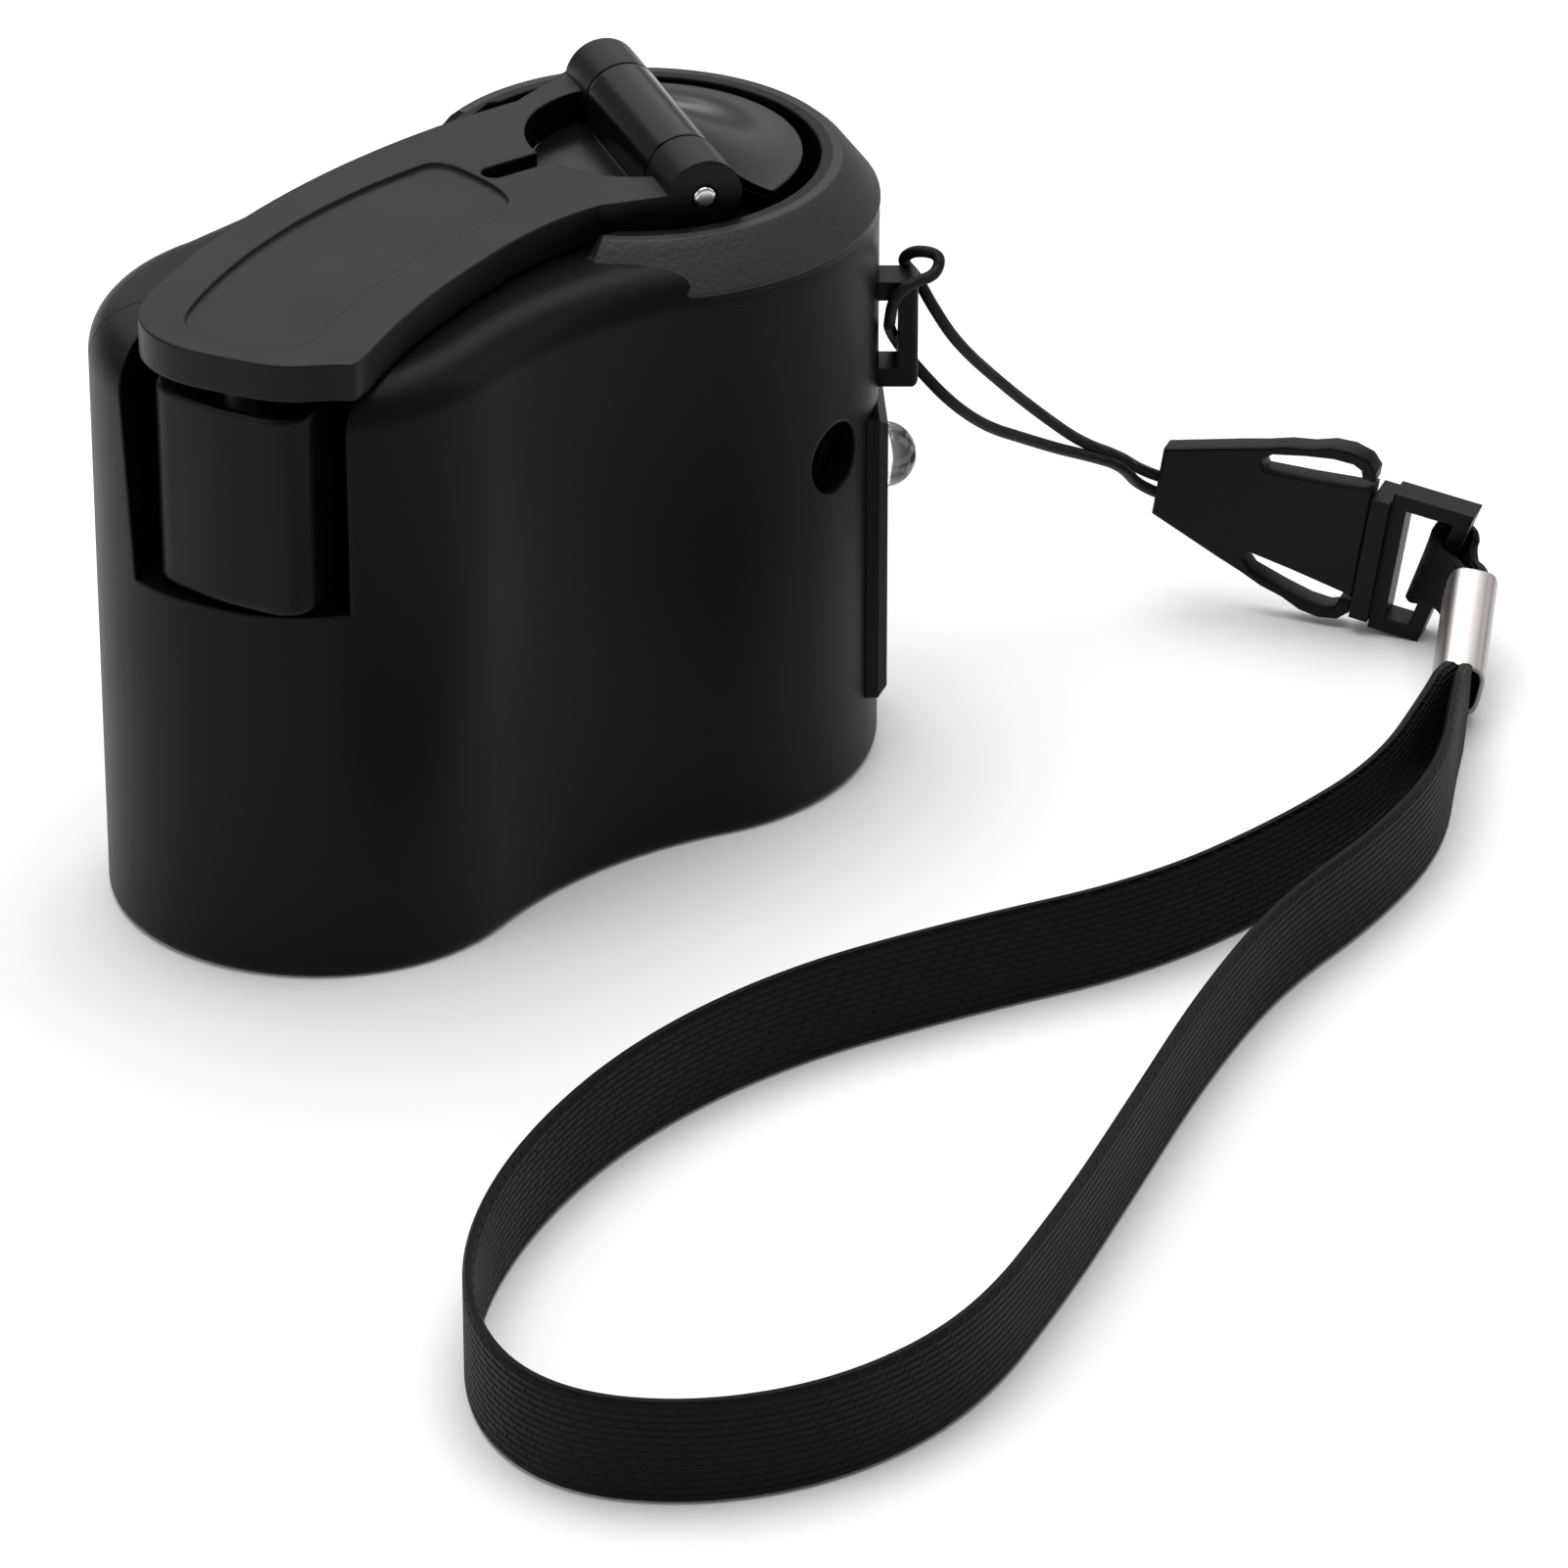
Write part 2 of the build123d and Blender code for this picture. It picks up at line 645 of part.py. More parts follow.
# ================================================================== knob
knob_top_z = arm_z - knob_top_gap
knob_plane = Plane(origin=knob_at, x_dir=ahead(knob_heading + 90), z_dir=(0, 0, 1))
knob_outline = [
    (6.3, -1.0), (6.35, 0.6), (6.15, 2.4), (4.9, 3.6), (2.8, 3.8), (0.8, 3.7), (-1.5, 3.4), (-3.7, 2.85), (-5.8, 1.9),
    (-6.5, 0.6), (-6.2, -0.9), (-5.2, -2.6), (-3.0, -4.2), (0.0, -4.7), (3.2, -4.2), (5.3, -2.9),
]
with BuildPart() as knob:
    with BuildSketch(knob_plane.offset(knob_bottom_z)):
        with BuildLine():
            Spline(*[(x, -y) for x, y in knob_outline], periodic=True)
        make_face()
    extrude(amount=knob_top_z - knob_bottom_z)
    fillet(knob.faces().sort_by(Axis.Z)[0].edges(), radius=0.7)
    fillet(knob.faces().sort_by(Axis.Z)[-1].edges(), radius=0.4)
    with BuildSketch(knob_plane.offset(knob_bottom_z)):
        Circle(knob_pin_r + running_gap)
    extrude(amount=knob_top_z, mode=Mode.SUBTRACT)
    with BuildSketch(knob_plane.offset(knob_bottom_z)):
        Circle(knob_pin_head_r + 0.3)
    extrude(amount=knob_pin_seat_z - knob_bottom_z, mode=Mode.SUBTRACT)
knob.part.label = "knob"
export_step(knob.part, "parts/knob.step")

with BuildPart() as knob_pin:
    with BuildSketch(knob_plane.offset(knob_pin_seat_z - running_gap - knob_pin_head)):
        Circle(knob_pin_head_r)
    extrude(amount=knob_pin_head)
    with BuildSketch(knob_plane.offset(knob_pin_seat_z - running_gap)):
        Circle(knob_pin_r)
    extrude(amount=arm_z + knob_pin_in_arm - knob_pin_seat_z + running_gap)
    with BuildSketch(knob_plane.offset(knob_pin_seat_z - running_gap - knob_pin_head)):
        Rectangle(3.4, 0.7)
        Rectangle(0.7, 3.4)
    extrude(amount=knob_pin_head / 2, mode=Mode.SUBTRACT)
knob_pin.part.label = "knob_pin"
export_step(knob_pin.part, "parts/knob_pin.step")

# ================================================================== gear train
crank_pitch_r = module * crank_teeth / 2
pinion_pitch_r = module * pinion_teeth / 2
idler_pitch_r = module * idler_teeth / 2
motor_pitch_r = module * motor_pinion_teeth / 2
motor_at = knob_lobe + lobe_axis * motor_axis_out
crank_to_idler = crank_pitch_r + pinion_pitch_r
idler_to_motor = idler_pitch_r + motor_pitch_r
base = (hub - motor_at).length
along = (crank_to_idler**2 - idler_to_motor**2 + base**2) / (2 * base)
idler_at = hub - lobe_axis * along + lobe_left * sqrt(crank_to_idler**2 - along**2)
crank_mesh = degrees(atan2(idler_at.Y, idler_at.X))
motor_mesh = degrees(atan2((motor_at - idler_at).Y, (motor_at - idler_at).X))


def gear_points(teeth, heading):
    """Closed involute outline with one tooth centred on the heading."""
    pitch_r = module * teeth / 2
    base_r = pitch_r * cos(radians(pressure_angle))
    tip_r = pitch_r + 0.95 * module
    root_r = pitch_r - 1.25 * module

    def half_angle(r):
        """Half the tooth's angle at a radius, in radians."""
        r = max(r, base_r)
        a = acos(base_r / r)
        a0 = radians(pressure_angle)
        return pi / (2 * teeth) - backlash / (4 * pitch_r) + (tan(a0) - a0) - (tan(a) - a)

    flank = [root_r, max(base_r, root_r + 0.05 * module), pitch_r, tip_r]
    points = []
    for tooth in range(teeth):
        centre = radians(heading) + 2 * pi * tooth / teeth
        rising = [(r, centre - half_angle(r)) for r in flank]
        falling = [(r, centre + half_angle(r)) for r in reversed(flank)]
        points += [(r * cos(t), r * sin(t)) for r, t in rising + falling]
    return points


with BuildPart() as crank_gear:
    with BuildSketch(Plane.XY.offset(crank_gear_z)):
        with BuildLine():
            Polyline(*gear_points(crank_teeth, crank_mesh), close=True)
        make_face()
    extrude(amount=gear_thick)
    with BuildSketch(Plane.XY.offset(crank_gear_z - 1)):
        Circle(2 * shaft_r)
    extrude(amount=gear_thick + 2)
    with BuildSketch(Plane.XY.offset(crank_gear_z - 1)):
        Circle(shaft_r)
        with PolarLocations(crank_pitch_r * 0.62, 6):
            Circle(crank_pitch_r * 0.17)
    extrude(amount=gear_thick + 2, mode=Mode.SUBTRACT)
crank_gear.part.label = "crank_gear"
export_step(crank_gear.part, "parts/crank_gear.step")

upper_plate_z = well_floor_z - well_wall - plate_thick
lower_plate_top = lower_plate_z + plate_thick
idler_plane = Plane(origin=idler_at)
motor_plane = Plane(origin=motor_at)
washer_gap = 0.2
with BuildPart() as idler_gear:
    with BuildSketch(idler_plane.offset(lower_plate_top + washer_gap)):
        Circle(2 * axle_r)
    extrude(amount=idler_gear_z - lower_plate_top - washer_gap)
    with BuildSketch(idler_plane.offset(idler_gear_z)):
        with BuildLine():
            Polyline(*gear_points(idler_teeth, motor_mesh), close=True)
        make_face()
    extrude(amount=gear_thick)
    with BuildSketch(idler_plane.offset(idler_gear_z + gear_thick)):
        with BuildLine():
            Polyline(*gear_points(pinion_teeth, crank_mesh + 180 + 180 / pinion_teeth), close=True)
        make_face()
    extrude(amount=upper_plate_z - washer_gap - idler_gear_z - gear_thick)
    with BuildSketch(idler_plane.offset(lower_plate_z)):
        Circle(axle_r + running_gap)
        with PolarLocations(idler_pitch_r * 0.58, 5):
            Circle(idler_pitch_r * 0.16)
    extrude(amount=well_floor_z, mode=Mode.SUBTRACT)
idler_gear.part.label = "idler_gear"
export_step(idler_gear.part, "parts/idler_gear.step")

with BuildPart() as idler_axle:
    with BuildSketch(idler_plane.offset(lower_plate_z)):
        Circle(axle_r)
    extrude(amount=upper_plate_z + plate_thick - lower_plate_z)
idler_axle.part.label = "idler_axle"
export_step(idler_axle.part, "parts/idler_axle.step")

clip_thick = 0.6
with BuildPart() as crank_shaft:
    with BuildSketch(Plane.XY.offset(lower_plate_z - 2 * clip_thick)):
        Circle(shaft_r)
    extrude(amount=drum_top_z - 1 - lower_plate_z + 2 * clip_thick)
crank_shaft.part.label = "crank_shaft"
export_step(crank_shaft.part, "parts/crank_shaft.step")

with BuildPart() as shaft_clip:
    with BuildSketch(Plane.XY.offset(lower_plate_z - clip_thick - running_gap)):
        Circle(shaft_r * 1.7)
        Circle(shaft_r, mode=Mode.SUBTRACT)
        with Locations((shaft_r * 1.5, 0)):
            Rectangle(2 * shaft_r, shaft_r, mode=Mode.SUBTRACT)
    extrude(amount=clip_thick)
shaft_clip.part.label = "shaft_clip"
export_step(shaft_clip.part, "parts/shaft_clip.step")

with BuildPart() as crank_bush:
    with BuildSketch(Plane.XY.offset(upper_plate_z)):
        Circle(shaft_r + well_wall)
    extrude(amount=well_floor_z - upper_plate_z)
    with BuildSketch(Plane.XY.offset(well_floor_z)):
        Circle(shaft_r + 2 * well_wall)
    extrude(amount=drum_lift - running_gap)
    with BuildSketch(Plane.XY.offset(upper_plate_z)):
        Circle(shaft_r + running_gap)
    extrude(amount=well_floor_z, mode=Mode.SUBTRACT)
crank_bush.part.label = "crank_bush"
export_step(crank_bush.part, "parts/crank_bush.step")

# ================================================================== gear plates and pillars
pillar_r = 1.5
pillar_spots = [
    knob_lobe + lobe_axis * 4.6 + lobe_left * 9.5,
    knob_lobe + lobe_axis * 4.6 - lobe_left * 8.6,
]
plate_end_r = 5.0
plate_wide_r = 5.3


def plate_outline(wide_r):
    """Plate from the crank shaft past the idler to the pillars."""
    for a, b, r in (
        (hub, idler_at, plate_end_r),
        (idler_at, motor_at, wide_r),
        (pillar_spots[0], pillar_spots[1], 2 * pillar_r),
    ):
        middle = (a + b) * 0.5
        heading = degrees(atan2((b - a).Y, (b - a).X))
        with Locations(Location(middle, (0, 0, heading))):
            SlotOverall((b - a).length + 2 * r, 2 * r)


with BuildPart() as lower_gear_plate:
    with BuildSketch(Plane.XY.offset(lower_plate_z)):
        plate_outline(plate_wide_r)
        Circle(shaft_r + running_gap, mode=Mode.SUBTRACT)
        with Locations(idler_at):
            Circle(axle_r, mode=Mode.SUBTRACT)
        with Locations(motor_at):
            Circle(4 * motor_shaft_r, mode=Mode.SUBTRACT)
    extrude(amount=plate_thick)
lower_gear_plate.part.label = "lower_gear_plate"
export_step(lower_gear_plate.part, "parts/lower_gear_plate.step")

with BuildPart() as upper_gear_plate:
    with BuildSketch(Plane.XY.offset(upper_plate_z)):
        plate_outline(plate_end_r)
        Circle(shaft_r + well_wall, mode=Mode.SUBTRACT)
        with Locations(idler_at):
            Circle(axle_r, mode=Mode.SUBTRACT)
    extrude(amount=plate_thick)
upper_gear_plate.part.label = "upper_gear_plate"
export_step(upper_gear_plate.part, "parts/upper_gear_plate.step")

with BuildPart() as plate_pillars:
    with BuildSketch(Plane.XY.offset(lower_plate_top)):
        with Locations(*pillar_spots):
            Circle(pillar_r)
    extrude(amount=upper_plate_z - lower_plate_top)
plate_pillars.part.label = "plate_pillars"
export_step(plate_pillars.part, "parts/plate_pillars.step")

# ================================================================== generator
cap_thick = 1.0
with BuildPart() as generator_can:
    with BuildSketch(motor_plane.offset(can_bottom_z)):
        Circle(can_r)
    extrude(amount=lower_plate_z - can_bottom_z)
    fillet(generator_can.faces().sort_by(Axis.Z)[-1].edges(), radius=can_wall)
    with BuildSketch(motor_plane.offset(can_bottom_z)):
        Circle(can_r - can_wall)
    extrude(amount=lower_plate_z - can_bottom_z - can_wall, mode=Mode.SUBTRACT)
    with BuildSketch(motor_plane.offset(can_bottom_z)):
        Circle(motor_shaft_r + running_gap)
    extrude(amount=lower_plate_z, mode=Mode.SUBTRACT)
generator_can.part.label = "generator_can"
export_step(generator_can.part, "parts/generator_can.step")

with BuildPart() as generator_end_cap:
    with BuildSketch(motor_plane.offset(can_bottom_z - cap_thick)):
        Circle(can_r - can_wall)
        Circle(motor_shaft_r + running_gap, mode=Mode.SUBTRACT)
    extrude(amount=2 * cap_thick)
generator_end_cap.part.label = "generator_end_cap"
export_step(generator_end_cap.part, "parts/generator_end_cap.step")

magnet_out = can_r - can_wall
magnet_in = magnet_out - magnet_thick
with BuildPart() as generator_magnets:
    with BuildSketch(motor_plane.offset(can_bottom_z + 2 * cap_thick)):
        Circle(magnet_out)
        Circle(magnet_in, mode=Mode.SUBTRACT)
        Rectangle(3 * can_r, magnet_in, mode=Mode.SUBTRACT)
    extrude(amount=12.0)
generator_magnets.part.label = "generator_magnets"
export_step(generator_magnets.part, "parts/generator_magnets.step")

core_r = magnet_in - air_gap
core_z = can_bottom_z + 3 * cap_thick
core_tall = 10.0
core_hub_r = 2.2
pole_neck = 1.8
with BuildPart() as rotor_core:
    with BuildSketch(motor_plane.offset(core_z)):
        Circle(core_r)
        Circle(core_r - 1.4, mode=Mode.SUBTRACT)
        with PolarLocations(core_r, pole_count, start_angle=60):
            Rectangle(2 * core_r / 3, 1.6, mode=Mode.SUBTRACT)
        Circle(core_hub_r)
        with PolarLocations(core_r / 2, pole_count):
            Rectangle(core_r - 1.0, pole_neck)
        Circle(motor_shaft_r, mode=Mode.SUBTRACT)
    extrude(amount=core_tall)
rotor_core.part.label = "rotor_core"
export_step(rotor_core.part, "parts/rotor_core.step")

coil_build = 1.0
with BuildPart() as rotor_coils:
    with BuildSketch(motor_plane.offset(core_z - coil_build)):
        with PolarLocations(core_r / 2 + 0.9, pole_count):
            Rectangle(2.4, pole_neck + 2 * coil_build)
    extrude(amount=core_tall + 2 * coil_build)
    with BuildSketch(motor_plane.offset(core_z)):
        with PolarLocations(core_r / 2, pole_count):
            Rectangle(core_r, pole_neck)
    extrude(amount=core_tall, mode=Mode.SUBTRACT)
rotor_coils.part.label = "rotor_coils"
export_step(rotor_coils.part, "parts/rotor_coils.step")

motor_pinion_z = idler_gear_z - 0.6
motor_pinion_tall = gear_thick + 1.2
with BuildPart() as generator_shaft:
    with BuildSketch(motor_plane.offset(can_bottom_z - cap_thick)):
        Circle(motor_shaft_r)
    extrude(amount=motor_pinion_z + motor_pinion_tall - can_bottom_z + cap_thick)
generator_shaft.part.label = "generator_shaft"
export_step(generator_shaft.part, "parts/generator_shaft.step")

with BuildPart() as generator_pinion:
    with BuildSketch(motor_plane.offset(motor_pinion_z)):
        with BuildLine():
            Polyline(*gear_points(motor_pinion_teeth, motor_mesh + 180 + 180 / motor_pinion_teeth), close=True)
        make_face()
        Circle(motor_shaft_r, mode=Mode.SUBTRACT)
    extrude(amount=motor_pinion_tall)
generator_pinion.part.label = "generator_pinion"
export_step(generator_pinion.part, "parts/generator_pinion.step")

# ================================================================== buckle
tail = Vector(*buckle_tail)
buckle_x = (ahead(buckle_heading, cos(radians(buckle_tilt))) - Vector(0, 0, sin(radians(buckle_tilt)))).normalized()
buckle_side = ahead(buckle_heading - 90)
buckle_plane = Plane(origin=tail, x_dir=buckle_x, z_dir=buckle_side)

tail_half = 3.0
socket_half = 4.3
socket_end = 16.8
collar_end = 18.4
collar_half = 5.3
loop_end = 23.7
loop_half = 6.0
tongue_half = 3.0
tongue_length = 8.0
tongue_tall = 1.6
tongue_gap = 0.1


def spring_arm(side):
    """Curved side arm of the socket with a hooked free end; side is +1 above, -1 below."""
    with BuildSketch() as shape:
        with BuildLine():
            Spline(
                (5.5, side * 5.2), (9.6, side * 6.1), (13.6, side * 7.4), (16.2, side * 6.6),
                tangents=((1, side * 0.45), (0.35, -side)),
            )
            Line((16.2, side * 6.6), (15.2, side * 5.2))
            Spline((15.2, side * 5.2), (13.0, side * 6.2), (9.8, side * 5.3), (7.4, side * 4.0))
            Polyline((7.4, side * 4.0), (5.5, side * 4.0), (5.5, side * 5.2))
        make_face()
    return shape.sketch


with BuildPart() as buckle_socket:
    with BuildSketch(buckle_plane):
        with BuildLine():
            Polyline(
                (0, -tail_half), (5.6, -5.3), (7.8, -socket_half), (socket_end, -socket_half),
                (socket_end, socket_half), (7.8, socket_half), (5.6, 5.3), (0, tail_half),
                close=True,
            )
        make_face()
    extrude(amount=buckle_thick / 2, both=True)
    for side in (-1, 1):
        with BuildSketch(buckle_plane):
            add(spring_arm(side))
        extrude(amount=buckle_thick / 2, both=True)
    # pocket for the tongue
    with BuildSketch(buckle_plane):
        with Locations((socket_end - tongue_length / 2 - tongue_gap, 0)):
            Rectangle(tongue_length + 2 * tongue_gap, 2 * (tongue_half + tongue_gap))
    extrude(amount=tongue_tall / 2 + tongue_gap, both=True, mode=Mode.SUBTRACT)
    # holes for the two ends of the string
    with BuildSketch(Plane(origin=tail, x_dir=buckle_side, z_dir=buckle_x)):
        with Locations((-string_split / 3, -string_split), (string_split / 3, string_split)):
            Circle(string_r)
    extrude(amount=string_hole, mode=Mode.SUBTRACT)
buckle_socket.part.label = "buckle_socket"
export_step(buckle_socket.part, "parts/buckle_socket.step")

loop_bar = 1.2
loop_skew = loop_half * tan(radians(bar_lean - buckle_tilt))
with BuildPart() as buckle_frame:
    collar_start = socket_end + tongue_gap
    with BuildSketch(buckle_plane):
        with Locations(((collar_start + collar_end) / 2, 0)):
            Rectangle(collar_end - collar_start, 2 * collar_half)
    extrude(amount=buckle_thick / 2, both=True)
    with BuildSketch(buckle_plane):
        with BuildLine():
            Polyline(
                (collar_end, -loop_half), (loop_end - loop_skew, -loop_half),
                (loop_end + loop_skew, loop_half), (collar_end, loop_half),
                close=True,
            )
        make_face()
        offset(amount=-loop_bar, mode=Mode.SUBTRACT)
    extrude(amount=buckle_thick / 3, both=True)
    with BuildSketch(buckle_plane):
        with Locations((collar_start - tongue_length / 2, 0)):
            Rectangle(tongue_length, 2 * tongue_half)
    extrude(amount=tongue_tall / 2, both=True)
buckle_frame.part.label = "buckle_frame"
export_step(buckle_frame.part, "parts/buckle_frame.step")

# ================================================================== cord and strap helpers
def corner_radii(points, share=0.45):
    """Largest smooth radius at each inner corner of a route, from its shorter run and its turn."""
    radii = []
    for a, b, c in zip(points, points[1:], points[2:]):
        before = Vector(*b) - Vector(*a)
        after = Vector(*c) - Vector(*b)
        turn = before.get_angle(after)
        radii.append(share * min(before.length, after.length) / tan(radians(turn / 2)))
    return radii


# ================================================================== strap clamp and strap
bar_at = tail + buckle_x * (loop_end - loop_bar / 2)
bar_up = ahead(buckle_heading, sin(radians(bar_lean))) + Vector(0, 0, cos(radians(bar_lean)))
strap_flat = ahead(strap_heading)
strap_away = (strap_flat - bar_up * strap_flat.dot(bar_up)).normalized()
fold_plane = Plane(origin=bar_at, x_dir=strap_away, z_dir=bar_up)
clamp_plane = Plane(origin=bar_at + strap_away * clamp_start, x_dir=bar_up, z_dir=strap_away)
clamp_tall = strap_width + 2 * clamp_wall + 0.3
clamp_wide = 2 * strap_thick + layer_gap + 2 * clamp_wall + 0.2
layer = (strap_thick + layer_gap) / 2
with BuildPart() as strap_clamp:
    with BuildSketch(clamp_plane):
        RectangleRounded(clamp_tall, clamp_wide, clamp_wide / 2 - 0.3)
        RectangleRounded(
            clamp_tall - 2 * clamp_wall, clamp_wide - 2 * clamp_wall, layer_gap / 4,
            mode=Mode.SUBTRACT,
        )
    extrude(amount=clamp_length)
strap_clamp.part.label = "strap_clamp"
export_step(strap_clamp.part, "parts/strap_clamp.step")

fold_half = 1.9
fold_back = 1.9
leg_end = clamp_start + clamp_length + 2 * layer_gap
mouth = bar_at + strap_away * (leg_end + layer_gap)
mouth_left = ahead(strap_heading + 90, layer)
loop_spots = [
    (47.0, -40.2), (39.6, -48.7), (29.5, -54.6), (16.8, -59.4), (4.7, -67.1), (-7.7, -76.5),
    (-19.5, -85.3), (-32.8, -94.0), (-44.5, -96.2), (-54.8, -93.4), (-61.6, -86.8), (-62.0, -77.6),
    (-56.5, -67.5), (-46.5, -58.4), (-33.5, -51.5), (-19.0, -48.4), (-4.0, -49.4), (10.5, -51.6),
    (23.5, -49.8), (35.5, -46.2), (45.5, -39.0),
]
strap_z = strap_lift + strap_width / 2
loop_ends = [((mouth + s * mouth_left).X, (mouth + s * mouth_left).Y) for s in (1, -1)]
loop_route = [(x, y, strap_z) for x, y in (loop_ends[0], *loop_spots, loop_ends[1])]
loop_radii = corner_radii(loop_route)
print("strap radii", [round(r, 1) for r in loop_radii])
with BuildPart() as wrist_strap:
    with BuildLine() as loop_line:
        FilletPolyline(*loop_route, radius=loop_radii)
    start = loop_line.wires()[0]
    with BuildSketch(Plane(origin=start @ 0, x_dir=(0, 0, 1), z_dir=start % 0)):
        Rectangle(strap_width, strap_thick)
    sweep(path=start)
    # fold round the buckle's outer bar
    with BuildSketch(fold_plane.offset(-strap_width / 2)):
        with BuildLine():
            Polyline(
                (leg_end, layer + strap_thick / 2), (clamp_start, layer + strap_thick / 2),
                (0, fold_half + strap_thick / 2), (-fold_back, fold_half - 0.4),
                (-fold_back - strap_thick / 2, 0), (-fold_back, -fold_half + 0.4),
                (0, -fold_half - strap_thick / 2), (clamp_start, -layer - strap_thick / 2),
                (leg_end, -layer - strap_thick / 2), (leg_end, -layer + strap_thick / 2),
                (clamp_start, -layer + strap_thick / 2), (0, -fold_half + strap_thick / 2),
                (-fold_back + strap_thick, -fold_half + strap_thick), (-fold_back + strap_thick / 2, 0),
                (-fold_back + strap_thick, fold_half - strap_thick), (0, fold_half - strap_thick / 2),
                (clamp_start, layer - strap_thick / 2), (leg_end, layer - strap_thick / 2),
                close=True,
            )
        make_face()
    extrude(amount=strap_width)
wrist_strap.part.label = "wrist_strap"
export_step(wrist_strap.part, "parts/wrist_strap.step")
print("strap length", round(start.length, 1), "volume", round(wrist_strap.part.volume, 1))

# ================================================================== string
bail_x = ahead(bail_heading)
bail_y = ahead(bail_heading + 90)


def by_bail(out, across, z):
    """Point beside the bail: distance from the crank axis, to the left, height."""
    return tuple(bail_x * out + bail_y * across + Vector(0, 0, z))


def by_tail(back, side):
    """Point on the line of one string hole, ahead of the buckle's tail."""
    shift = buckle_plane.y_dir * string_split * side - buckle_side * string_split / 3 * side
    return tuple(tail + buckle_x * back + shift)


string_route = [
    by_tail(string_hole, 1), by_tail(-1.6, 1),
    (40.0, -2.2, 14.2), (35.5, -4.5, 18.1), (31.3, -6.1, 21.8), (26.8, -7.8, 26.1), (22.4, -9.4, 31.4),
    (20.3, -9.9, 35.6), by_bail(22.2, 1.6, 39.0), by_bail(21.2, 0.6, 41.0), by_bail(19.4, -1.0, 40.4),
    by_bail(18.9, -2.6, 38.0), by_bail(18.75, -1.6, 35.0), by_bail(18.75, 0.9, 33.6), by_bail(19.1, 2.9, 31.6),
    (20.6, -8.9, 27.8), (24.0, -8.6, 23.8), (27.5, -7.6, 21.0), (31.3, -6.1, 18.6), (35.2, -4.6, 16.4),
    (38.9, -3.6, 14.5), by_tail(-1.6, -1), by_tail(string_hole, -1),
]
string_radii = corner_radii(string_route)
print("string radii", [round(r, 1) for r in string_radii])
with BuildPart() as string_cord:
    with BuildLine() as string_line:
        FilletPolyline(*string_route, radius=string_radii)
    run = string_line.wires()[0]
    with BuildSketch(Plane(origin=run @ 0, z_dir=run % 0)):
        Circle(string_r)
    sweep(path=run)
string_cord.part.label = "string_cord"
export_step(string_cord.part, "parts/string_cord.step")
print("string length", round(run.length, 1), "volume", round(string_cord.part.volume, 2),
      "section x length", round(run.length * pi * string_r**2, 2))
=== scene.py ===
import math

import bpy
from mathutils import Matrix, Vector


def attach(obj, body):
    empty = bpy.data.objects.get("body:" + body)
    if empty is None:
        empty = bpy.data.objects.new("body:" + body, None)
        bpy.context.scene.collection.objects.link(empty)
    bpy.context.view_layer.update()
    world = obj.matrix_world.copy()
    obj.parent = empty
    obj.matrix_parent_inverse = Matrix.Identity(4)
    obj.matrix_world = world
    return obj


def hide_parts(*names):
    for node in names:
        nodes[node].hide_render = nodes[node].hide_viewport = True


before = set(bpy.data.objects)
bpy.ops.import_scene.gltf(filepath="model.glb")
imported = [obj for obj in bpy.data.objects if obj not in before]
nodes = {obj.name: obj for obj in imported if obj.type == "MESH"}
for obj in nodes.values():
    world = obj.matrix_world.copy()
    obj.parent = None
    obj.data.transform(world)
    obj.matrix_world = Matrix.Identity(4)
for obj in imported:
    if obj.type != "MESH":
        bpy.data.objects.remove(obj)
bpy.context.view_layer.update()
scene = bpy.context.scene
MM = 0.001


def ahead(heading, distance=1.0):
    a = math.radians(heading)
    return Vector((math.cos(a), math.sin(a), 0)) * distance


# ------------------------------------------------------------------ camera
# the photograph's view, solved from the case
cam_data = bpy.data.cameras.new("photo_camera")
cam_data.sensor_width = 36.0
cam_data.lens = 209.3
cam_data.clip_start = 0.01
cam_data.clip_end = 20.0
cam = bpy.data.objects.new("photo_camera", cam_data)
scene.collection.objects.link(cam)
back = Vector((-0.4782, -0.7363, 0.4787)).normalized()  # from the object to the camera
right = Vector((0.8387, -0.5446, 0.0)).normalized()
up = back.cross(right)
turn = Matrix((right, up, back)).transposed().to_4x4()
cam.matrix_world = Matrix.Translation(Vector((-0.3244, -0.5196, 0.3292))) @ turn
scene.camera = cam
scene.view_settings.view_transform = "Standard"
scene.view_settings.look = "None"


# ------------------------------------------------------------------ materials
def srgb(c):
    """Linear value of a screen value from 0 to 1."""
    return c / 12.92 if c <= 0.04045 else ((c + 0.055) / 1.055) ** 2.4


